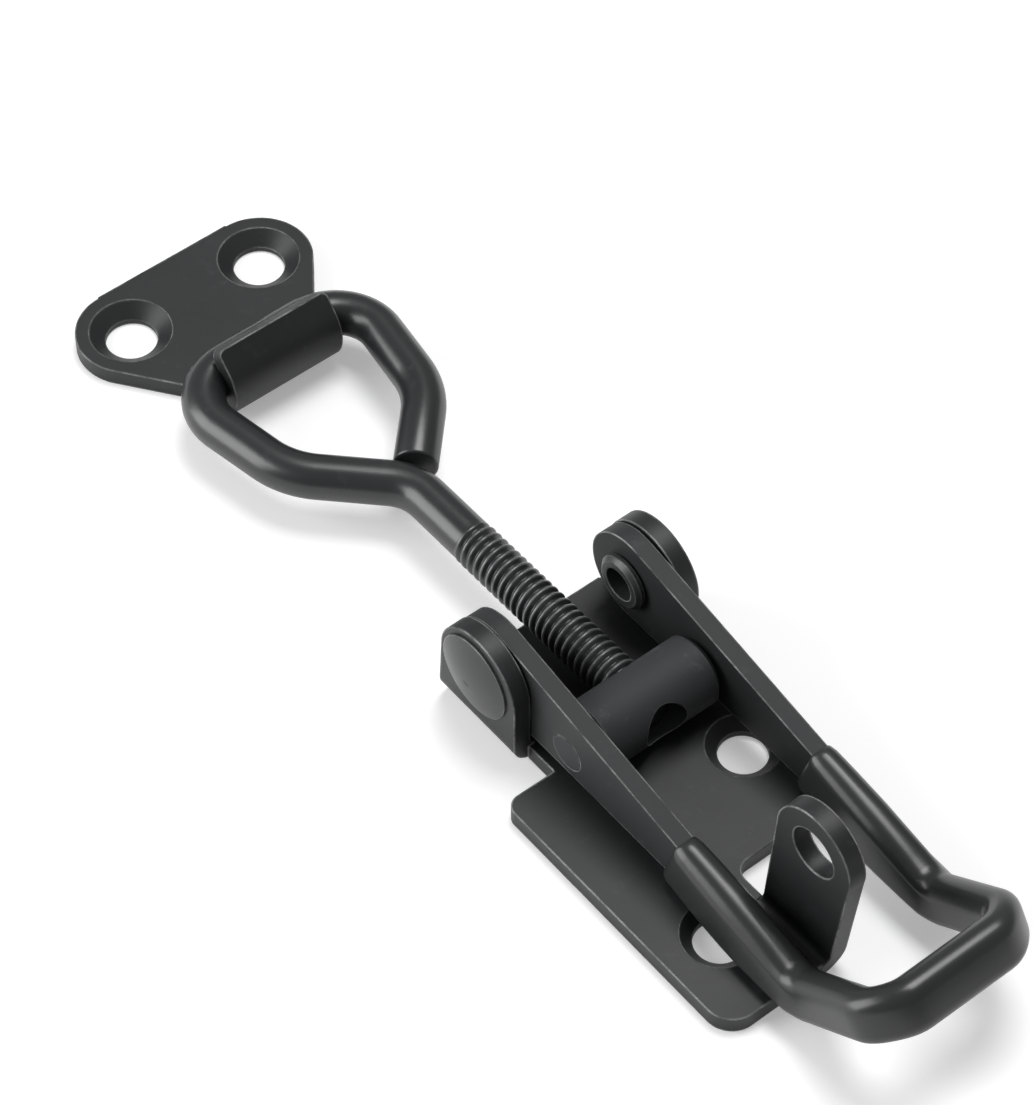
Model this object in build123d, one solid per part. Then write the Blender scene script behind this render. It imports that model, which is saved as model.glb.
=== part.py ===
from build123d import *
import math
import os

os.makedirs("parts", exist_ok=True)

# Frame: +X runs from the pivot towards the grip, +Z stands up from the mounting face.
# The origin lies on the mounting face straight under the handle pivot.

# Sheet and pivot
sheet = 2.0
pivot_z = 8.7
ear_r = 5.75
ear_shift_x = 0.3
ear_out_y = 11.8
bend_in_r = 0.8
side_play = 0.25

# Base floor and flange
floor_front_x = -6.0
floor_rear_x = 29.8
flange_start_x = 10.0
flange_end_x = 43.4
flange_y = -16.2
flange_front_r = 1.5
flange_rear_r = 3.0
notch_y = -10.0
far_rear_r = 3.0
relief_r = 1.6

# Padlock tab
tab_face_y = -3.7
tab_gap_x = 4.1
tab_eye_x = 40.0
tab_r = 5.05
tab_top_z = 21.1
tab_bore_r = 2.8

# Base screw holes
screw_r = 2.6
screw_sink_r = 3.9
screw_straight = 0.7
floor_hole_x = 19.3
floor_hole_y = 6.6
flange_hole_x = 34.6
flange_hole_y = -9.7

# Handle strip
strip_t = 2.0
head_r = 5.4
leg_bottom_z = 3.3
top_slope_deg = 11.6
grip_room = 12.55
rise_run = 11.25
valley_lead = 1.75
rise_deg = 33.0
rise_top_deg = 37.5
valley_r = 3.0
belly_r = 6.0
corner_in_r = 2.6

# Grip sleeve
sleeve_wall = 0.95
sleeve_start_top_x = 27.8
sleeve_start_low_x = 26.4
sleeve_edge = 0.6

# Trunnion
trunnion_x = 11.4
trunnion_z = 6.2
barrel_r = 3.9
stub_r = 2.0
barrel_edge = 0.7
stub_proud = 0.05

# Pull rod
wire_r = 2.4
thread_r = 2.5
rod_tail = 1.6
rod_point = 0.6
thread_front_x = -15.7
loop_s = 62.25
neck_s = 36.6
shoulder_s = 45.95
shoulder_y = 9.1
corner_y = 11.75
neck_bend_r = 6.0
shoulder_bend_r = 10.0
corner_bend_r = 5.8
seam_gap = 0.12
running_fit = 0.06

# Catch plate
hook_fit = 0.65
hook_wrap_deg = 165.0
hook_half_y = 7.0
hook_blend_r = 2.5
catch_hole_back = 12.75
catch_hole_y = 8.53
catch_hole_r = 2.8
catch_sink_r = 4.5
catch_straight = 0.6
lobe_r = 6.0
catch_back = 6.15
taper_deg = 36.5
lip_corner_r = 0.8

# Rivets
rivet_head_r = 4.8
rivet_head_h = 1.25
rivet_rim_h = 0.25
rivet_shank_r = 2.6
rivet_roll_r = 3.1
rivet_bore_r = 1.9
rivet_roll_h = 0.9
rivet_roll_edge = 0.45
rivet_bore_depth = 4.5

# Overshoot of cutting and bounding shapes
over = 1.0
beyond = 60.0

# Derived values
ear_in_y = ear_out_y - sheet
leg_out_y = ear_in_y - side_play
leg_in_y = leg_out_y - strip_t
bend_out_r = bend_in_r + sheet
tab_start_x = floor_rear_x + tab_gap_x
grip_reach_x = tab_eye_x + tab_r + grip_room
rise_x = grip_reach_x - rise_run
valley_x = rise_x - valley_lead
ear_rear_x = ear_shift_x + ear_r
ear_front_x = ear_shift_x - ear_r
crossbar_x = trunnion_x - math.sqrt(loop_s ** 2 - (trunnion_z - sheet - wire_r - hook_fit) ** 2)
crossbar_z = sheet + wire_r + hook_fit
rod_pitch_deg = math.degrees(math.atan2(trunnion_z - crossbar_z, trunnion_x - crossbar_x))
thread_s = (trunnion_x - thread_front_x) / math.cos(math.radians(rod_pitch_deg))
catch_hole_x = crossbar_x - catch_hole_back
top_slope = math.tan(math.radians(top_slope_deg))
head_top_x = head_r * math.sin(math.radians(top_slope_deg))
head_top_z = pivot_z + head_r * math.cos(math.radians(top_slope_deg))
valley_z = head_top_z - top_slope * (valley_x - head_top_x)


def outline(points):
    """Closed planar face through the given local points."""
    return make_face(Polyline(*points, close=True))


def round_corner(face, x, y, r):
    """Face with its corner nearest to the given local point rounded."""
    corner = face.vertices().sort_by_distance(Vector(x, y, 0))[0]
    return fillet(corner, r)


def prism_z(face, z_low, z_high):
    """Solid from a plan face between two heights."""
    return extrude(Pos(0, 0, z_low) * face, z_high - z_low)


def prism_y(face_xz, y_low, y_high):
    """Solid from a side face (local x, z) between two widths."""
    placed = Plane(origin=(0, y_high, 0), x_dir=(1, 0, 0), z_dir=(0, -1, 0)) * face_xz
    return extrude(placed, y_high - y_low)


def bar_y(x, z, r, y_low, y_high):
    """Round bar along Y."""
    return prism_y(Pos(x, z) * Circle(r), y_low, y_high)


def countersink(x, y, r, sink_r, straight, top):
    """Cutter for a countersunk hole seen from above."""
    hole = Pos(x, y, 0) * Cylinder(r, 2 * (top + over))
    sink = Cone(r, sink_r, top - straight, align=(Align.CENTER, Align.CENTER, Align.MIN))
    mouth = Cylinder(sink_r, top, align=(Align.CENTER, Align.CENTER, Align.MIN))
    return hole + Pos(x, y, straight) * sink + Pos(x, y, top) * mouth


def bent_wall(y_face, side, top):
    """Section of the sheet through the bend from the floor up into a wall."""
    y_arc = y_face - side * bend_in_r
    y_back = y_face + side * sheet
    half = math.sqrt(0.5)
    mid_in = (y_arc + side * bend_in_r * half, bend_out_r - bend_in_r * half)
    mid_out = (y_arc + side * bend_out_r * half, bend_out_r - bend_out_r * half)
    return make_face(
        Polyline((y_arc, 0), (y_arc, sheet))
        + ThreePointArc((y_arc, sheet), mid_in, (y_face, bend_out_r))
        + Polyline((y_face, bend_out_r), (y_face, top), (y_back, top), (y_back, bend_out_r))
        + ThreePointArc((y_back, bend_out_r), mid_out, (y_arc, 0))
    )


def ear(side):
    """One upright ear with its bend into the floor."""
    across = bent_wall(side * ear_in_y, side, pivot_z + ear_r + over)
    start = Plane(origin=(floor_front_x, 0, 0), x_dir=(0, 1, 0), z_dir=(1, 0, 0)) * across
    bent = extrude(start, ear_rear_x - floor_front_x)
    stem = outline([
        (floor_front_x, 0), (ear_rear_x, 0), (ear_rear_x, pivot_z), (ear_front_x, pivot_z),
    ])
    side_view = Pos(ear_shift_x, pivot_z) * Circle(ear_r) + stem
    solid = bent & prism_y(side_view, -ear_out_y - over, ear_out_y + over)
    return solid - bar_y(0, pivot_z, rivet_shank_r, -ear_out_y - over, ear_out_y + over)


def base_floor():
    """Flat floor with the one-sided flange and the notch beside the ear."""
    bend_y = ear_in_y - bend_in_r
    relief_y = tab_face_y - bend_in_r
    plan = outline([
        (floor_front_x, -bend_y), (ear_rear_x, -bend_y), (ear_rear_x, notch_y), (flange_start_x, notch_y),
        (flange_start_x, flange_y), (flange_end_x, flange_y), (flange_end_x, relief_y),
        (tab_start_x, relief_y), (tab_start_x, tab_face_y), (floor_rear_x, tab_face_y),
        (floor_rear_x, ear_out_y), (ear_rear_x, ear_out_y),
        (ear_rear_x, bend_y), (floor_front_x, bend_y),
    ])
    plan = round_corner(plan, flange_start_x, flange_y, flange_front_r)
    plan = round_corner(plan, flange_end_x, flange_y, flange_rear_r)
    plan = round_corner(plan, floor_rear_x, ear_out_y, far_rear_r)
    plan = round_corner(plan, floor_rear_x, tab_face_y, relief_r)
    return prism_z(plan, 0, sheet)


def padlock_tab():
    """Upright round-topped tab bent up from the flange strip."""
    across = bent_wall(tab_face_y, 1, tab_top_z + over)
    start = Plane(origin=(tab_start_x - over, 0, 0), x_dir=(0, 1, 0), z_dir=(1, 0, 0)) * across
    bent = extrude(start, tab_eye_x + tab_r + 2 * over - tab_start_x)
    eye_z = tab_top_z - tab_r
    stem = outline([
        (tab_start_x, 0), (flange_end_x, 0), (tab_eye_x + tab_r, eye_z), (tab_eye_x - tab_r, eye_z),
    ])
    side_view = Pos(tab_eye_x, eye_z) * Circle(tab_r) + stem
    y_low = tab_face_y - bend_in_r - over
    y_high = tab_face_y + sheet + over
    solid = bent & prism_y(side_view, y_low, y_high)
    return solid - bar_y(tab_eye_x, eye_z, tab_bore_r, tab_face_y - over, y_high)


def base_bracket():
    """Stamped base in one piece."""
    solid = base_floor() + ear(-1) + ear(1) + padlock_tab()
    solid -= countersink(floor_hole_x, floor_hole_y, screw_r, screw_sink_r, screw_straight, sheet)
    solid -= countersink(flange_hole_x, flange_hole_y, screw_r, screw_sink_r, screw_straight, sheet)
    return solid


def handle_side(grow, start_top_x, start_low_x):
    """Side view of the handle strip, grown by a wall when it is drawn for the sleeve."""
    up = math.radians(rise_deg)
    up_top = math.radians(rise_top_deg)
    slope = math.radians(top_slope_deg)
    low_z = leg_bottom_z - grow
    lift = grow / math.cos(slope)
    rise_low_z = leg_bottom_z - grow / math.cos(up)
    belly_x = rise_x + (low_z - rise_low_z) / math.tan(up)
    top_line_z = valley_z + grow / math.cos(up_top)
    grown_valley_x = valley_x - (top_line_z - valley_z - lift) / (math.tan(up_top) + top_slope)
    grown_valley_z = valley_z + lift + top_slope * (valley_x - grown_valley_x)
    end_x = grip_reach_x + grow * (math.cos(up) + math.sin(up))
    end_z = low_z + math.tan(up) * (end_x - belly_x)
    gap = grown_valley_z - end_z - math.tan(up_top) * (grown_valley_x - end_x)
    step = gap / (math.cos(up) + math.tan(up_top) * math.sin(up))
    end_top = (end_x - step * math.sin(up), end_z + step * math.cos(up))
    start_top_z = grown_valley_z + top_slope * (grown_valley_x - start_top_x)
    face = outline([
        (start_low_x, low_z), (belly_x, low_z), (end_x, end_z), end_top,
        (grown_valley_x, grown_valley_z), (start_top_x, start_top_z),
    ])
    face = round_corner(face, belly_x, low_z, belly_r + grow)
    return round_corner(face, grown_valley_x, grown_valley_z, valley_r - grow)


def handle_ring(grow):
    """U-shaped wall along the leg direction, for the legs and the cross bar of the grip."""
    up = math.radians(rise_deg)
    end_z = leg_bottom_z + math.tan(up) * (grip_reach_x - rise_x)
    outer_y = leg_out_y + grow
    inner_y = leg_in_y - grow
    outer = Pos(grow - beyond, 0) * Rectangle(2 * beyond, 2 * outer_y)
    outer = round_corner(outer, grow, outer_y, corner_in_r + strip_t + grow)
    outer = round_corner(outer, grow, -outer_y, corner_in_r + strip_t + grow)
    inner = Pos(-strip_t - grow - beyond, 0) * Rectangle(2 * beyond, 2 * inner_y)
    inner = round_corner(inner, -strip_t - grow, inner_y, corner_in_r - grow)
    inner = round_corner(inner, -strip_t - grow, -inner_y, corner_in_r - grow)
    tilted = Plane(
        origin=(grip_reach_x, 0, end_z),
        x_dir=(math.cos(up), 0, math.sin(up)),
        z_dir=(-math.sin(up), 0, math.cos(up)),
    )
    return extrude(tilted * (outer - inner), beyond, both=True)


def handle():
    """Flat strip bent to a U with round heads and a rising grip."""
    side = handle_side(0, head_top_x, 0) + Pos(0, pivot_z) * Circle(head_r)
    solid = prism_y(side, -leg_out_y - over, leg_out_y + over) & handle_ring(0)
    solid -= bar_y(0, pivot_z, rivet_shank_r + running_fit, -leg_out_y - over, leg_out_y + over)
    return solid - bar_y(trunnion_x, trunnion_z, stub_r + running_fit, -leg_out_y - over, leg_out_y + over)


def is_rim(edge):
    """True for the long edges of the sleeve, false for its corners and its open ends."""
    a = edge @ 0
    b = edge @ 1
    run = abs(a.X - b.X)
    climb = abs(a.Z - b.Z)
    if run < 0.01 and climb < 0.01:
        return abs((edge @ 0.5).Y) < leg_in_y / 2
    return run > climb


def grip_sleeve(core):
    """Soft sleeve with eased edges over the rear of the strip."""
    side = handle_side(sleeve_wall, sleeve_start_top_x, sleeve_start_low_x)
    wide = leg_out_y + sleeve_wall + over
    skin = prism_y(side, -wide, wide) & handle_ring(sleeve_wall)
    soft = chamfer([edge for edge in skin.edges() if is_rim(edge)], sleeve_edge)
    return soft - core


def trunnion():
    """Turned cross barrel with stub ends and a cross hole for the rod."""
    barrel_y = leg_in_y - side_play
    stub_y = leg_out_y + stub_proud
    profile = outline([
        (0, -stub_y), (stub_r, -stub_y), (stub_r, -barrel_y), (barrel_r - barrel_edge, -barrel_y),
        (barrel_r, -barrel_y + barrel_edge), (barrel_r, barrel_y - barrel_edge),
        (barrel_r - barrel_edge, barrel_y), (stub_r, barrel_y), (stub_r, stub_y), (0, stub_y),
    ])
    solid = Pos(trunnion_x, 0, trunnion_z) * revolve(profile, Axis.Y)
    bore = Cylinder(thread_r + running_fit, 4 * barrel_r, rotation=(0, 90, 0))
    return solid - Pos(trunnion_x, 0, trunnion_z) * Rot(0, -rod_pitch_deg, 0) * bore


def loop_path():
    """Centre line of the wire from the tail to the cut end, rod direction as local -x."""
    reach = math.hypot(shoulder_s - neck_s, shoulder_y)
    stop = (wire_r + seam_gap) / reach
    return [
        (rod_tail, 0), (-neck_s, 0), (-shoulder_s, -shoulder_y), (-loop_s, -corner_y),
        (-loop_s, corner_y), (-shoulder_s, shoulder_y),
        (-neck_s - stop * (shoulder_s - neck_s), stop * shoulder_y),
    ]


def pull_rod():
    """Wire with a plain threaded end, bent to a closed loop."""
    pts = [Vector(x, y, 0) for x, y in loop_path()]
    radii = [neck_bend_r, shoulder_bend_r, corner_bend_r, corner_bend_r, shoulder_bend_r]
    edges = []
    start = pts[0]
    for here, back, ahead, r in zip(pts[1:-1], pts[:-2], pts[2:], radii):
        d_in = (here - back).normalized()
        d_out = (ahead - here).normalized()
        turn = math.acos(d_in.dot(d_out))
        cut = r * math.tan(turn / 2)
        a = here - d_in * cut
        b = here + d_out * cut
        edges.append(Line(start, a))
        inward = (d_out - d_in).normalized()
        centre = here + inward * (r / math.cos(turn / 2))
        edges.append(ThreePointArc(a, centre - inward * r, b))
        start = b
    edges.append(Line(start, pts[-1]))
    path = Wire(edges)
    section = Plane(origin=pts[0], x_dir=(0, 1, 0), z_dir=(-1, 0, 0)) * Circle(wire_r)
    wire = sweep(section, path=path)
    shank = Pos(rod_tail, 0, 0) * Rot(0, -90, 0) * Cylinder(
        thread_r, rod_tail + thread_s, align=(Align.CENTER, Align.CENTER, Align.MIN))
    tip = chamfer(shank.edges().group_by(Axis.X)[-1], rod_point)
    solid = wire + tip
    return Pos(trunnion_x, 0, trunnion_z) * Rot(0, -rod_pitch_deg, 0) * solid


def catch_side():
    """Side view of the catch plate with its rolled hook."""
    inner_r = wire_r + hook_fit
    outer_r = inner_r + sheet
    end = math.radians(hook_wrap_deg)
    half = end / 2
    cx = crossbar_x
    cz = crossbar_z
    back = catch_hole_x - catch_back
    lip_in = (cx + inner_r * math.sin(end), cz - inner_r * math.cos(end))
    lip_out = (cx + outer_r * math.sin(end), cz - outer_r * math.cos(end))
    mid_in = (cx + inner_r * math.sin(half), cz - inner_r * math.cos(half))
    mid_out = (cx + outer_r * math.sin(half), cz - outer_r * math.cos(half))
    return make_face(
        Polyline((back, 0), (cx, 0))
        + ThreePointArc((cx, 0), mid_out, lip_out)
        + Polyline(lip_out, lip_in)
        + ThreePointArc(lip_in, mid_in, (cx, sheet))
        + Polyline((cx, sheet), (back, sheet), (back, 0))
    )


def catch_plan():
    """Outline of the catch plate seen from above."""
    taper = math.radians(taper_deg)
    hx = catch_hole_x
    back = hx - catch_back
    tangent_x = hx + lobe_r * math.sin(taper)
    tangent_y = catch_hole_y + lobe_r * math.cos(taper)
    end_x = tangent_x + (tangent_y - hook_half_y) / math.tan(taper)
    front = crossbar_x + beyond
    wing = outline([
        (hx, catch_hole_y), (tangent_x, tangent_y), (end_x, hook_half_y), (front, hook_half_y),
        (front, -hook_half_y), (end_x, -hook_half_y), (tangent_x, -tangent_y), (hx, -catch_hole_y),
        (back, -catch_hole_y), (back, catch_hole_y),
    ])
    wing = round_corner(wing, end_x, hook_half_y, hook_blend_r)
    wing = round_corner(wing, end_x, -hook_half_y, hook_blend_r)
    return wing + Pos(hx, catch_hole_y) * Circle(lobe_r) + Pos(hx, -catch_hole_y) * Circle(lobe_r)


def is_lip_tip(edge):
    """True for the two short edges at the corners of the rolled lip."""
    return abs(edge.length - sheet) < seam_gap and edge.center().Z > crossbar_z


def catch_plate():
    """Stamped plate with two countersunk holes and a rolled hook."""
    wide = catch_hole_y + lobe_r + over
    rolled = prism_y(catch_side(), -wide, wide)
    low = prism_z(catch_plan(), -over, crossbar_z)
    lip = Pos(crossbar_x, 0, crossbar_z) * Box(
        beyond, 2 * hook_half_y, beyond, align=(Align.CENTER, Align.CENTER, Align.MIN))
    solid = rolled & (low + lip)
    tips = [edge for edge in solid.edges() if is_lip_tip(edge)]
    solid = fillet(tips, lip_corner_r)
    for side in (-1, 1):
        solid -= countersink(
            catch_hole_x, side * catch_hole_y, catch_hole_r, catch_sink_r, catch_straight, sheet)
    return solid


def rivet(side):
    """Semi-tubular rivet: low domed head outside, rolled hollow end inside."""
    head_y = ear_out_y
    crown_y = ear_out_y + rivet_head_h
    roll_y = leg_in_y - side_play
    end_y = roll_y - rivet_roll_h
    edge_y = head_y + rivet_rim_h
    dome_h = crown_y - edge_y
    dome_r = (rivet_head_r ** 2 + dome_h ** 2) / (2 * dome_h)
    dome_half = math.asin(rivet_head_r / dome_r) / 2
    mid_r = dome_r * math.sin(dome_half)
    mid_y = crown_y - dome_r * (1 - math.cos(dome_half))
    profile = make_face(
        Polyline((0, crown_y), (0, end_y + rivet_bore_depth), (rivet_bore_r, end_y + rivet_bore_depth),
                 (rivet_bore_r, end_y), (rivet_roll_r - rivet_roll_edge, end_y),
                 (rivet_roll_r, end_y + rivet_roll_edge), (rivet_roll_r, roll_y), (rivet_shank_r, roll_y),
                 (rivet_shank_r, head_y), (rivet_head_r, head_y), (rivet_head_r, edge_y))
        + ThreePointArc((rivet_head_r, edge_y), (mid_r, mid_y), (0, crown_y))
    )
    solid = Pos(0, 0, pivot_z) * revolve(profile, Axis.Y)
    return solid if side > 0 else mirror(solid, about=Plane.XZ)


def main():
    """Write every piece."""
    core = handle()
    pieces = {
        "base_bracket": base_bracket(),
        "rivet_near": rivet(-1),
        "rivet_far": rivet(1),
        "handle": core,
        "grip_sleeve": grip_sleeve(core),
        "trunnion": trunnion(),
        "pull_rod": pull_rod(),
        "catch_plate": catch_plate(),
    }
    for name, solid in pieces.items():
        export_step(solid, f"parts/{name}.step")
        print(name, len(solid.solids()), round(solid.volume, 1), solid.bounding_box())


main()
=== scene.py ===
import math

import bmesh
import bpy
from mathutils import Matrix, Vector


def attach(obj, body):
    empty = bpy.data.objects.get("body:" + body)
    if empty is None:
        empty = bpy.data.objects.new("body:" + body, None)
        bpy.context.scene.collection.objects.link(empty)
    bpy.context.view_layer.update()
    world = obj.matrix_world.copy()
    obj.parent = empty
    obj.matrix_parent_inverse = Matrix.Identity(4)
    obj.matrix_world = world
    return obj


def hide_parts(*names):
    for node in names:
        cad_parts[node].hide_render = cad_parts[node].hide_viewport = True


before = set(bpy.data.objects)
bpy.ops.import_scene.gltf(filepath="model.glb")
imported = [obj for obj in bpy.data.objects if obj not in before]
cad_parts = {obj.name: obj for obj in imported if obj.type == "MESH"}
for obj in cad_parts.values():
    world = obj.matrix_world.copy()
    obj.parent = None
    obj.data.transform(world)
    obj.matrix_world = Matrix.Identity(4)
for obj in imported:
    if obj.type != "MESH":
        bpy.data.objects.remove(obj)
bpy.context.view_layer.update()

MM = 0.001

# Pull rod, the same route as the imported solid
TRUNNION = Vector((11.4, 0.0, 6.2))
CROSSBAR_Z = 5.05
LOOP_S = 62.25
NECK_S = 36.6
SHOULDER = (45.95, 9.1)
CORNER_Y = 11.75
BEND_R = (6.0, 10.0, 5.8, 5.8, 10.0)
WIRE_R = 2.4
SEAM_GAP = 0.12
CREST_R = 2.5
ROOT_R = 2.12
PITCH = 1.0
THREAD_FRONT_X = -15.7
ROD_TAIL = 1.6
TIP_CHAMFER = 0.6
RING = 48
THREAD_STEPS = 14
THREAD_RUN_OUT = 1.2 * PITCH
FLANK_GAIN = 1.28
ROOT_FLAT = 0.06
CREST_ROUNDING = 0.85
BEND_STEP = 0.45
SHANK_JOIN = 0.3
ROD_TILT = math.asin((TRUNNION.z - CROSSBAR_Z) / LOOP_S)
SHANK_END = -(TRUNNION.x - THREAD_FRONT_X) / math.cos(ROD_TILT)
TAIL_EDGE = 0.35
CUT_END = ((0.25, 0.0), (0.07, 0.07), (0.0, 0.25))

# Handle strip under the sleeve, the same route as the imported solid
STRIP_HALF = 1.0
LEG_Y = 8.55
LEG_LOW_Z = 3.3
VALLEY_X = 44.6
RISE_X = 46.35
REACH_X = 57.6
RISE = math.radians(33.0)
RISE_TOP = math.radians(37.5)
TOP_SLOPE = math.radians(11.6)
HEAD_TOP = Vector((1.0858, 13.9897))
BELLY_R = 6.0
VALLEY_R = 3.0
CORNER_R = 3.6

# Sleeve over it
SLEEVE_START = (26.4, 27.8)
SLEEVE_WALL = 0.95
SLEEVE_LOW_WALL = 1.15
SLEEVE_TOP_R = 1.85
SLEEVE_LOW_R = 1.4
CORNER_PINCH = 0.35
SLEEVE_FLARE = 0.85
SLEEVE_LIP = ((0.0, 0.05), (0.12, 0.38), (0.35, 0.6), (1.0, 0.74), (4.0, 0.88), (9.0, 1.0))
START_SHARES = [0.0, 0.01, 0.03, 0.06, 0.1, 0.16] + [0.25 + 0.09375 * i for i in range(8)]
FLARE_START = 0.35
FLARE_RUN = 18.0
ROUND_PER_WALL = 2.6
CREST_FLAT = 0.03
HOLLOW_GAP = 0.004
HOLLOW_R = 0.01
ARC_STEPS = 7
VALLEY_STEPS = 9
CORNER_STEPS = 12

# Hook of the catch plate
HOOK_X = -50.8394
HOOK_TURN = math.radians(131.0)
HOOK_WRAP = math.radians(165.0)
LIP_RISE = 2.6
HOOK_HUG = 0.45

# Colours of the sleeve, and the light grey mixed onto edges and thread crests: worn coat with a
# painted highlight on the edges, a painted highlight on the crests
WEAR_AND_HIGHLIGHT = (0.36, 0.375, 0.36, 1.0)
PLASTIC_DARK = (0.017, 0.0177, 0.0177, 1.0)
PLASTIC_LIGHT = (0.024, 0.0248, 0.0248, 1.0)

# Table and light
TABLE_HALF = 1.5
TABLE_DROP = 0.05
TABLE_GLOW = 0.3
WHITE = (1.0, 1.0, 1.0, 1.0)
WORLD_STRENGTH = 0.28
TABLE_COLOR = (0.8, 0.8, 0.8, 1.0)
CENTRE = Vector((-6.0, 0.0, 5.0)) * MM
LAMP_DISTANCE = 0.8

# Picture size and optical centre of the photograph, in pixels
FRAME_SIZE = (1033, 1105)
OPTICAL_CENTRE = (511.3, 546.036)


def principled(name):
    """New node material, with its tree and its shader."""
    mat = bpy.data.materials.new(name)
    mat.use_nodes = True
    tree = mat.node_tree
    shader = tree.nodes["Principled BSDF"]
    return mat, tree, shader


def add(tree, kind, **values):
    """New node with its properties set."""
    node = tree.nodes.new(kind)
    for key, value in values.items():
        setattr(node, key, value)
    return node


def ramp(tree, source, low, high):
    """Map Range from two source values to 0 and 1."""
    node = add(tree, "ShaderNodeMapRange", clamp=True)
    node.inputs["From Min"].default_value = low
    node.inputs["From Max"].default_value = high
    tree.links.new(source, node.inputs["Value"])
    return node.outputs["Result"]


def mix_color(tree, factor, a, b):
    """Colour mix, where a and b are colours or sockets."""
    node = add(tree, "ShaderNodeMix", data_type="RGBA")
    tree.links.new(factor, node.inputs["Factor"])
    for slot, value in (("A", a), ("B", b)):
        socket = next(s for s in node.inputs if s.name == slot and s.type == "RGBA")
        if isinstance(value, tuple):
            socket.default_value = value
        else:
            tree.links.new(value, socket)
    return next(s for s in node.outputs if s.type == "RGBA")


def math_node(tree, operation, a, b):
    """Math node on two sockets or numbers."""
    node = add(tree, "ShaderNodeMath", operation=operation)
    for index, value in enumerate((a, b)):
        if isinstance(value, (int, float)):
            node.inputs[index].default_value = value
        else:
            tree.links.new(value, node.inputs[index])
    return node.outputs[0]


def noise(tree, coords, scale, detail=4.0, rough=0.55):
    """Noise value in object space."""
    node = add(tree, "ShaderNodeTexNoise")
    node.inputs["Scale"].default_value = scale
    node.inputs["Detail"].default_value = detail
    node.inputs["Roughness"].default_value = rough
    tree.links.new(coords, node.inputs["Vector"])
    return node.outputs["Fac"]


def bevel_normal(tree, radius):
    """Normal rounded over sharp edges."""
    bevel = add(tree, "ShaderNodeBevel", samples=6)
    bevel.inputs["Radius"].default_value = radius
    return bevel.outputs["Normal"]


def edge_mask(tree, radius):
    """Value that rises towards 1 at sharp edges, from the angle of a bevelled normal."""
    geometry = add(tree, "ShaderNodeNewGeometry")
    dot = add(tree, "ShaderNodeVectorMath", operation="DOT_PRODUCT")
    tree.links.new(bevel_normal(tree, radius), dot.inputs[0])
    tree.links.new(geometry.outputs["Normal"], dot.inputs[1])
    return math_node(tree, "SUBTRACT", 1.0, dot.outputs["Value"])


def varied_roughness(tree, shader, source, low, high):
    """Roughness between two values, varied by a noise."""
    spread = add(tree, "ShaderNodeMapRange")
    spread.inputs["To Min"].default_value = low
    spread.inputs["To Max"].default_value = high
    tree.links.new(source, spread.inputs["Value"])
    tree.links.new(spread.outputs["Result"], shader.inputs["Roughness"])


def fine_bump(tree, shader, height, strength, distance):
    """Bump node on the shader's normal."""
    bump = add(tree, "ShaderNodeBump")
    bump.inputs["Strength"].default_value = strength
    bump.inputs["Distance"].default_value = distance
    tree.links.new(height, bump.inputs["Height"])
    tree.links.new(bump.outputs["Normal"], shader.inputs["Normal"])
    return bump


def scaled(color, factor):
    """Opaque colour made lighter or darker."""
    return tuple(factor * c for c in color[:3]) + (1.0,)


def coated(name, base, rough, edge_wear_and_highlight, edge_radius, shine=0.5, crest_highlight=0.0):
    """Satin black coat: mottled tone, light specks, fine grain, thin light edges that are worn coat
    and partly a painted edge highlight, and a painted highlight on thread crests.
    """
    mat, tree, shader = principled(name)
    coords = add(tree, "ShaderNodeTexCoord").outputs["Object"]
    cloud = noise(tree, coords, 90.0, 3.0)
    speck = noise(tree, coords, 1400.0, 2.0)
    dust = noise(tree, coords, 420.0, 5.0, 0.7)

    tone = mix_color(tree, ramp(tree, cloud, 0.3, 0.7), base, scaled(base, 1.28))
    flecks = math_node(tree, "MULTIPLY", ramp(tree, dust, 0.58, 0.76), 0.5)
    tone = mix_color(tree, flecks, tone, scaled(base, 3.2))

    # Light grey along sharp edges, broken up by noise: worn coat, partly a painted edge highlight
    patch = noise(tree, coords, 230.0, 3.0, 0.6)
    mask = edge_mask(tree, edge_radius)
    worn_and_lit_edges = math_node(tree, "MULTIPLY", ramp(tree, mask, 0.02, 0.11), ramp(tree, dust, 0.28, 0.56))
    worn_and_lit_edges = math_node(tree, "MULTIPLY", worn_and_lit_edges, ramp(tree, patch, 0.27, 0.52))
    tone = mix_color(tree, math_node(tree, "MULTIPLY", worn_and_lit_edges, edge_wear_and_highlight), tone, WEAR_AND_HIGHLIGHT)
    # Painted highlight: light grey on the thread crests, standing in for crest glints
    if crest_highlight:
        crest = add(tree, "ShaderNodeAttribute", attribute_name="crest").outputs["Fac"]
        crest_glint = math_node(
            tree, "MULTIPLY", ramp(tree, crest, 0.75, 1.0), ramp(tree, dust, 0.3, 0.6))
        tone = mix_color(tree, math_node(tree, "MULTIPLY", crest_glint, crest_highlight), tone, WEAR_AND_HIGHLIGHT)
    tree.links.new(tone, shader.inputs["Base Color"])

    varied_roughness(tree, shader, cloud, rough - 0.05, rough + 0.07)
    bump = fine_bump(tree, shader, speck, 0.16, 0.04 * MM)
    tree.links.new(bevel_normal(tree, edge_radius), bump.inputs["Normal"])
    shader.inputs["Specular IOR Level"].default_value = shine
    return mat


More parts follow.
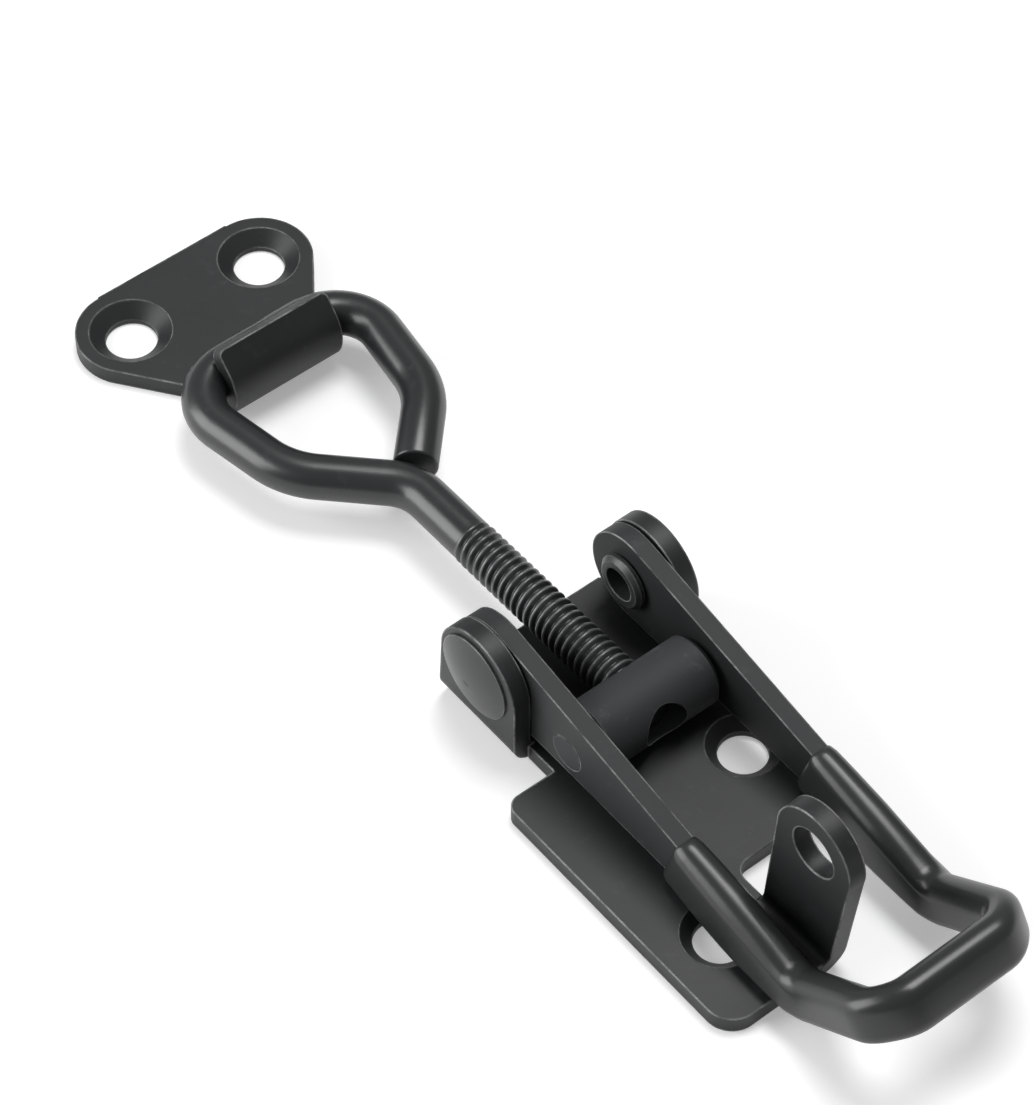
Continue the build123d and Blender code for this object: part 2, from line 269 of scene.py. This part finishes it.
def grip_plastic():
    """Soft black moulded plastic with a fine matte grain."""
    mat, tree, shader = principled("grip_plastic")
    coords = add(tree, "ShaderNodeTexCoord").outputs["Object"]
    cloud = noise(tree, coords, 60.0, 3.0)
    grain = noise(tree, coords, 1800.0, 3.0)
    tone = mix_color(tree, ramp(tree, cloud, 0.3, 0.7), PLASTIC_DARK, PLASTIC_LIGHT)
    tree.links.new(tone, shader.inputs["Base Color"])
    varied_roughness(tree, shader, cloud, 0.24, 0.34)
    fine_bump(tree, shader, grain, 0.1, 0.03 * MM)
    return mat


def linked(name, data):
    """New object of a mesh, lamp or camera in the scene."""
    obj = bpy.data.objects.new(name, data)
    bpy.context.scene.collection.objects.link(obj)
    return obj


def loop_line():
    """Centre line of the plain wire as points and directions, neck first, in the rod's plane."""
    reach = math.hypot(SHOULDER[0] - NECK_S, SHOULDER[1])
    stop = (WIRE_R + SEAM_GAP) / reach
    pts = [Vector(p) for p in (
        (ROD_TAIL, 0.0), (-NECK_S, 0.0), (-SHOULDER[0], -SHOULDER[1]), (-LOOP_S, -CORNER_Y),
        (-LOOP_S, CORNER_Y), (-SHOULDER[0], SHOULDER[1]),
        (-NECK_S - stop * (SHOULDER[0] - NECK_S), stop * SHOULDER[1]))]
    line = []
    for here, back, ahead, r in zip(pts[1:-1], pts[:-2], pts[2:], BEND_R):
        d_in = (here - back).normalized()
        d_out = (ahead - here).normalized()
        turn = math.acos(max(-1.0, min(1.0, d_in.dot(d_out))))
        cut = r * math.tan(turn / 2)
        inward = (d_out - d_in).normalized()
        centre = here + inward * (r / math.cos(turn / 2))
        steps = max(4, int(turn * r / BEND_STEP))
        start = here - d_in * cut - centre
        side = 1.0 if d_in.x * d_out.y - d_in.y * d_out.x > 0 else -1.0
        for i in range(steps + 1):
            a = side * turn * i / steps
            p = Vector((
                centre.x + start.x * math.cos(a) - start.y * math.sin(a),
                centre.y + start.x * math.sin(a) + start.y * math.cos(a)))
            d = Vector((
                d_in.x * math.cos(a) - d_in.y * math.sin(a),
                d_in.x * math.sin(a) + d_in.y * math.cos(a)))
            line.append((p, d))
    line.append((pts[-1], (pts[-1] - pts[-2]).normalized()))
    return line


def thread_profile(turns):
    """Height of the thread between root 0 and crest 1 at a fraction of one turn."""
    x = turns - math.floor(turns)
    flank = abs(2.0 * x - 1.0)
    height = FLANK_GAIN * (1.0 - flank) - ROOT_FLAT
    return max(0.0, min(1.0, height)) ** CREST_ROUNDING


def pull_rod_rings():
    """Rings of the whole wire in the rod's own frame, tail first."""
    step = PITCH / THREAD_STEPS
    count = int((ROD_TAIL - SHANK_END) / step)
    rings = []

    def ring(p, d, radius):
        side = Vector((-d.y, d.x, 0.0))
        points = []
        for k in range(RING):
            a = 2 * math.pi * k / RING
            r = radius(a) if callable(radius) else radius
            across = side * (r * math.cos(a))
            points.append(Vector((p.x, p.y, 0.0)) + across + Vector((0, 0, r * math.sin(a))))
        rings.append(points)

    towards_loop = Vector((-1.0, 0.0))
    ring(Vector((ROD_TAIL, 0.0)), towards_loop, TAIL_EDGE)
    ring(Vector((ROD_TAIL, 0.0)), towards_loop, ROOT_R - TAIL_EDGE)
    for i in range(1, count):
        s = ROD_TAIL - i * step
        inside = ROD_TAIL - s
        fade_in = min(1.0, max(0.0, (s - SHANK_END) / THREAD_RUN_OUT))
        start_r = ROOT_R - TAIL_EDGE + min(1.0, inside / TIP_CHAMFER) * 2 * CREST_R

        def radius(a, s=s, fade=fade_in, limit=start_r):
            height = thread_profile(s / PITCH + a / (2 * math.pi))
            full = ROOT_R + (CREST_R - ROOT_R) * height
            blend = fade * fade * (3 - 2 * fade)
            r = WIRE_R + (full - WIRE_R) * blend
            return min(r, limit)

        ring(Vector((s, 0.0)), towards_loop, radius)
    line = loop_line()
    first = line[0][0]
    for s in (SHANK_END - SHANK_JOIN, (SHANK_END + first.x) / 2):
        ring(Vector((s, 0.0)), towards_loop, WIRE_R)
    for p, d in line[:-1]:
        ring(p, d, WIRE_R)
    p, d = line[-1]
    for before, off in CUT_END:
        ring(p - d * before, d, WIRE_R - off)
    return rings


def pull_rod_wire():
    """One wire mesh with a real helical thread and a closed loop."""
    turn = Matrix.Rotation(-ROD_TILT, 4, "Y")
    place = Matrix.Translation(TRUNNION * MM) @ turn @ Matrix.Scale(MM, 4)
    bm = bmesh.new()
    rows = [[bm.verts.new(place @ p) for p in ring] for ring in pull_rod_rings()]
    for a, b in zip(rows[:-1], rows[1:]):
        for k in range(RING):
            n = (k + 1) % RING
            bm.faces.new((a[k], b[k], b[n], a[n]))
    bm.faces.new(rows[0])
    bm.faces.new(list(reversed(rows[-1])))
    bmesh.ops.recalc_face_normals(bm, faces=bm.faces)
    for face in bm.faces:
        face.smooth = len(face.verts) == 4
    mesh = bpy.data.meshes.new("pull_rod_wire")
    bm.to_mesh(mesh)
    bm.free()
    # Crest height per vertex, which the wire's material uses to paint a highlight on the thread
    # crests
    crest = mesh.attributes.new("crest", "FLOAT", "POINT")
    back_place = place.inverted()
    for vertex, value in zip(mesh.vertices, crest.data):
        local = back_place @ vertex.co
        if local.x > SHANK_END:
            value.value = (math.hypot(local.y, local.z) - ROOT_R) / (CREST_R - ROOT_R)
    return linked("pull_rod_wire", mesh)


def sleeve_stations():
    """Stations along the strip, near start first.

    Each holds its bottom and top point, outward direction, rise share and corner pinch.
    """
    slope = math.tan(TOP_SLOPE)
    valley_z = HEAD_TOP.y - slope * (VALLEY_X - HEAD_TOP.x)
    along = Vector((math.cos(RISE), 0.0, math.sin(RISE)))
    normal = Vector((-math.sin(RISE), 0.0, math.cos(RISE)))
    origin = Vector((RISE_X, 0.0, LEG_LOW_Z))
    outward = Vector((0.0, -1.0, 0.0))
    side = outward * LEG_Y
    stations = []

    def top_at(x):
        return Vector((x, 0.0, HEAD_TOP.y - slope * (x - HEAD_TOP.x)))

    low_cut = BELLY_R * math.tan(RISE / 2)
    turn_top = RISE_TOP + TOP_SLOPE
    top_cut = VALLEY_R * math.tan(turn_top / 2)
    low_end = RISE_X - low_cut
    top_end = VALLEY_X - top_cut * math.cos(TOP_SLOPE)
    for share in START_SHARES:
        low = Vector((SLEEVE_START[0] + share * (low_end - SLEEVE_START[0]), 0.0, LEG_LOW_Z))
        top = top_at(SLEEVE_START[1] + share * (top_end - SLEEVE_START[1]))
        stations.append((low + side, top + side, outward, 0.0, 0.0))
    low_centre = Vector((low_end, 0.0, LEG_LOW_Z + BELLY_R))
    top_start = top_at(top_end)
    top_centre = top_start + Vector((math.sin(TOP_SLOPE), 0.0, math.cos(TOP_SLOPE))) * VALLEY_R
    for i in range(1, VALLEY_STEPS + 1):
        share = i / VALLEY_STEPS
        a = RISE * share
        b = turn_top * share - TOP_SLOPE
        low = low_centre + Vector((math.sin(a), 0.0, -math.cos(a))) * BELLY_R
        top = top_centre + Vector((math.sin(b), 0.0, -math.cos(b))) * VALLEY_R
        stations.append((low + side, top + side, outward, share * 0.5, 0.0))
    valley_end = stations[-1][1] - side
    reach = (REACH_X - RISE_X) / math.cos(RISE)
    corner_u = reach - STRIP_HALF - CORNER_R
    top_n = (valley_end - origin).dot(normal)
    top_u = (valley_end - origin).dot(along)
    lean = math.tan(RISE_TOP - RISE)
    for share in (0.2, 0.4, 0.6, 0.8, 1.0):
        low_u = low_cut + share * (corner_u - low_cut)
        high_u = top_u + share * (corner_u - top_u)
        low = origin + along * low_u
        top = origin + along * high_u + normal * (top_n + lean * (high_u - top_u))
        stations.append((low + side, top + side, outward, 0.5 + 0.5 * share, 0.0))
    centre_y = LEG_Y - CORNER_R
    for i in range(1, CORNER_STEPS + 1):
        a = math.pi / 2 * i / CORNER_STEPS
        spoke = along * math.sin(a) + outward * math.cos(a)
        u = corner_u + CORNER_R * math.sin(a)
        low = origin + along * u + outward * (centre_y + CORNER_R * math.cos(a))
        pinch = CORNER_PINCH * math.sin(2.0 * a) ** 2
        stations.append((low, low + normal * (top_n + lean * (u - top_u)), spoke, 1.0, pinch))
    low, top, *rest = stations[-1]
    for share in (0.35, 0.7):
        shift = Vector((0.0, share * centre_y, 0.0))
        stations.append((low + shift, top + shift, *rest))

    def flipped(v):
        return Vector((v.x, -v.y, v.z))

    return stations + [
        (flipped(low), flipped(top), flipped(spoke), *rest)
        for low, top, spoke, *rest in reversed(stations)]


def rounded_ring(low, top, spoke, wall, low_wall, flare, pinch, top_r, low_r):
    """Points of a rounded, slightly flared section around the strip at one station."""
    up = (top - low).normalized()
    height = (top - low).length
    half = STRIP_HALF + wall
    top_r = min(top_r, half - pinch / 2 - CREST_FLAT)
    corners = (
        (half + flare - pinch, -low_wall, 1, -1, low_r),
        (half - pinch, height + wall, 1, 1, top_r),
        (-half, height + wall, -1, 1, top_r),
        (-half - flare, -low_wall, -1, -1, low_r))
    points = []
    for index, (across, lift, side_x, side_z, r) in enumerate(corners):
        start = -90.0 + 90.0 * index
        for i in range(ARC_STEPS + 1):
            a = math.radians(start + 90.0 * i / ARC_STEPS)
            x = across - side_x * r + r * math.cos(a)
            z = lift - side_z * r + r * math.sin(a)
            points.append(low + spoke * x + up * z)
    return points


def sleeve_skin():
    """Soft sleeve as one closed shell with rounded edges and thinned lips."""
    stations = sleeve_stations()
    outer, inner = [], []
    length = 0.0
    lengths = [0.0]
    for here, ahead in zip(stations[:-1], stations[1:]):
        length += (ahead[0] - here[0]).length
        lengths.append(length)
    for (low, top, spoke, share, pinch), s in zip(stations, lengths):
        edge = min(s, length - s)
        full = 1.0
        for (s0, f0), (s1, f1) in zip(SLEEVE_LIP[:-1], SLEEVE_LIP[1:]):
            if s0 <= edge < s1:
                full = f0 + (f1 - f0) * (edge - s0) / (s1 - s0)
        wall = SLEEVE_WALL * full
        grown = min(1.0, FLARE_START + edge / FLARE_RUN)
        flare = SLEEVE_FLARE * (1.0 - share) * grown * full
        largest = ROUND_PER_WALL * wall
        outer.append(rounded_ring(
            low, top, spoke, wall, SLEEVE_LOW_WALL * full, flare, pinch,
            min(SLEEVE_TOP_R, largest), min(SLEEVE_LOW_R, largest)))
        inner.append(rounded_ring(
            low, top, spoke, HOLLOW_GAP, HOLLOW_GAP, 0.0, 0.0, HOLLOW_R, HOLLOW_R))
    bm = bmesh.new()
    rows = [[bm.verts.new(p * MM) for p in ring] for ring in outer + inner[::-1]]
    count = len(rows[0])
    for a, b in zip(rows, rows[1:] + rows[:1]):
        for k in range(count):
            n = (k + 1) % count
            bm.faces.new((a[k], a[n], b[n], b[k]))
    bmesh.ops.recalc_face_normals(bm, faces=bm.faces)
    for face in bm.faces:
        face.smooth = True
    mesh = bpy.data.meshes.new("grip_sleeve_skin")
    bm.to_mesh(mesh)
    bm.free()
    return linked("grip_sleeve_skin", mesh)


def catch_plate_pressed():
    """Copy of the catch plate whose hook sits close to the crossbar and ends in a flat lip."""
    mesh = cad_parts["catch_plate"].data.copy()
    mesh.name = "catch_plate_pressed"
    tangent = Vector((math.cos(HOOK_TURN), math.sin(HOOK_TURN)))
    radial = Vector((math.sin(HOOK_TURN), -math.cos(HOOK_TURN)))
    for vertex in mesh.vertices:
        x = vertex.co.x / MM - HOOK_X
        z = vertex.co.z / MM - CROSSBAR_Z
        if x <= 0.0:
            continue
        angle = math.atan2(x, -z)
        reach = math.hypot(x, z) - HOOK_HUG * math.sin(min(angle, math.pi / 2)) ** 2
        if angle > HOOK_TURN:
            run = LIP_RISE * (angle - HOOK_TURN) / (HOOK_WRAP - HOOK_TURN)
            place = radial * reach + tangent * run
        else:
            place = Vector((math.sin(angle), -math.cos(angle))) * reach
        vertex.co.x = (HOOK_X + place.x) * MM
        vertex.co.z = (CROSSBAR_Z + place.y) * MM
    mesh.update()
    return linked("catch_plate_pressed", mesh)


def area_light(name, direction, size, energy):
    """Soft square lamp that looks at the object from the given direction."""
    data = bpy.data.lights.new(name, "AREA")
    data.shape = "RECTANGLE"
    data.size = size
    data.size_y = size
    data.energy = energy
    lamp = linked(name, data)
    d = Vector(direction).normalized()
    lamp.location = CENTRE + d * LAMP_DISTANCE
    lamp.rotation_mode = "QUATERNION"
    lamp.rotation_quaternion = (-d).to_track_quat("-Z", "Y")


# Materials on the carried-over solids
sheet_coat = coated(
    "coated_sheet", (0.0115, 0.0121, 0.0128, 1.0),
    rough=0.47, edge_wear_and_highlight=1.0, edge_radius=0.36 * MM, shine=0.4)
strip_coat = coated(
    "coated_strip", (0.0155, 0.0163, 0.0172, 1.0),
    rough=0.6, edge_wear_and_highlight=0.95, edge_radius=0.3 * MM, shine=0.4)
rivet_coat = coated(
    "coated_rivet", (0.023, 0.0242, 0.0245, 1.0),
    rough=0.38, edge_wear_and_highlight=0.95, edge_radius=0.26 * MM)
turned_coat = coated(
    "coated_turned", (0.024, 0.0253, 0.0268, 1.0),
    rough=0.68, edge_wear_and_highlight=0.6, edge_radius=0.2 * MM, shine=0.4)
# Wire coat with a painted highlight on its thread crests
wire_coat = coated(
    "coated_wire", (0.0145, 0.0152, 0.016, 1.0),
    rough=0.28, edge_wear_and_highlight=0.5, edge_radius=0.1 * MM, shine=0.6, crest_highlight=0.32)
plastic = grip_plastic()
LOOKS = {
    "base_bracket": sheet_coat, "handle": strip_coat, "catch_plate": sheet_coat,
    "rivet_near": rivet_coat, "rivet_far": rivet_coat, "trunnion": turned_coat,
    "grip_sleeve": plastic, "pull_rod": wire_coat,
}
for name, look in LOOKS.items():
    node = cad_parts[name]
    if not node.material_slots:
        node.data.materials.append(look)
    for mat_slot in node.material_slots:
        mat_slot.material = look

# The pull rod with its real thread
rod = pull_rod_wire()
rod.data.materials.append(wire_coat)
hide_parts("pull_rod")
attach(rod, "hook_bolt")

# The sleeve with its soft edges
sleeve = sleeve_skin()
sleeve.data.materials.append(plastic)
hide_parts("grip_sleeve")
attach(sleeve, "lever")

# The catch plate with its upright lip
catch = catch_plate_pressed()
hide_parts("catch_plate")
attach(catch, "catch")

# White table
floor_mesh = bpy.data.meshes.new("table")
floor_corners = ((-1, -1), (1, -1), (1, 1), (-1, 1))
floor_mesh.from_pydata(
    [(x * TABLE_HALF, y * TABLE_HALF, 0) for x, y in floor_corners], [], [(0, 1, 2, 3)])
floor = linked("table", floor_mesh)
floor.location.z = -TABLE_DROP * MM
table_mat, table_tree, table_shader = principled("table")
table_shader.inputs["Base Color"].default_value = TABLE_COLOR
table_shader.inputs["Roughness"].default_value = 0.9
table_shader.inputs["Specular IOR Level"].default_value = 0.0
path = add(table_tree, "ShaderNodeLightPath")
seen = math_node(
    table_tree, "MAXIMUM", path.outputs["Is Camera Ray"], path.outputs["Is Glossy Ray"])
table_shader.inputs["Emission Color"].default_value = WHITE
glow = math_node(table_tree, "MULTIPLY", seen, TABLE_GLOW)
table_tree.links.new(glow, table_shader.inputs["Emission Strength"])
floor_mesh.materials.append(table_mat)

# Studio light
world = bpy.data.worlds.new("studio")
bpy.context.scene.world = world
world.use_nodes = True
sky = world.node_tree.nodes["Background"]
sky.inputs["Color"].default_value = WHITE
sky.inputs["Strength"].default_value = WORLD_STRENGTH
area_light("key", (-0.14, 0.3, 0.95), 0.4, 4.4)
area_light("left", (-0.52, -0.8, 0.4), 0.6, 6.2)

# Camera of the photograph
AZIMUTH = math.radians(51.1464)
ELEVATION = math.radians(51.0418)
ROLL = math.radians(-0.0149)
TARGET = Vector((-9.7298, 0.5416, 10.0)) * MM
DISTANCE = 400.6375 * MM
FOCAL_PX = 4002.0929
SENSOR_WIDTH = 36.0
back = Vector((
    math.sin(AZIMUTH) * math.cos(ELEVATION),
    -math.cos(AZIMUTH) * math.cos(ELEVATION),
    math.sin(ELEVATION)))
level = Vector((math.cos(AZIMUTH), math.sin(AZIMUTH), 0.0))
rise = back.cross(level)
right = level * math.cos(ROLL) + rise * math.sin(ROLL)
up = rise * math.cos(ROLL) - level * math.sin(ROLL)
cam_data = bpy.data.cameras.new("camera")
cam_data.sensor_fit = "HORIZONTAL"
cam_data.sensor_width = SENSOR_WIDTH
cam_data.lens = SENSOR_WIDTH * FOCAL_PX / FRAME_SIZE[0]
cam_data.shift_x = (FRAME_SIZE[0] / 2 - OPTICAL_CENTRE[0]) / FRAME_SIZE[0]
cam_data.shift_y = (OPTICAL_CENTRE[1] - FRAME_SIZE[1] / 2) / FRAME_SIZE[0]
cam_data.clip_start = 0.01
cam_data.clip_end = 10.0
cam = linked("camera", cam_data)
turned = Matrix((right, up, back)).transposed().to_4x4()
cam.matrix_world = Matrix.Translation(TARGET + back * DISTANCE) @ turned
bpy.context.scene.camera = cam
bpy.context.scene.view_settings.view_transform = "Standard"
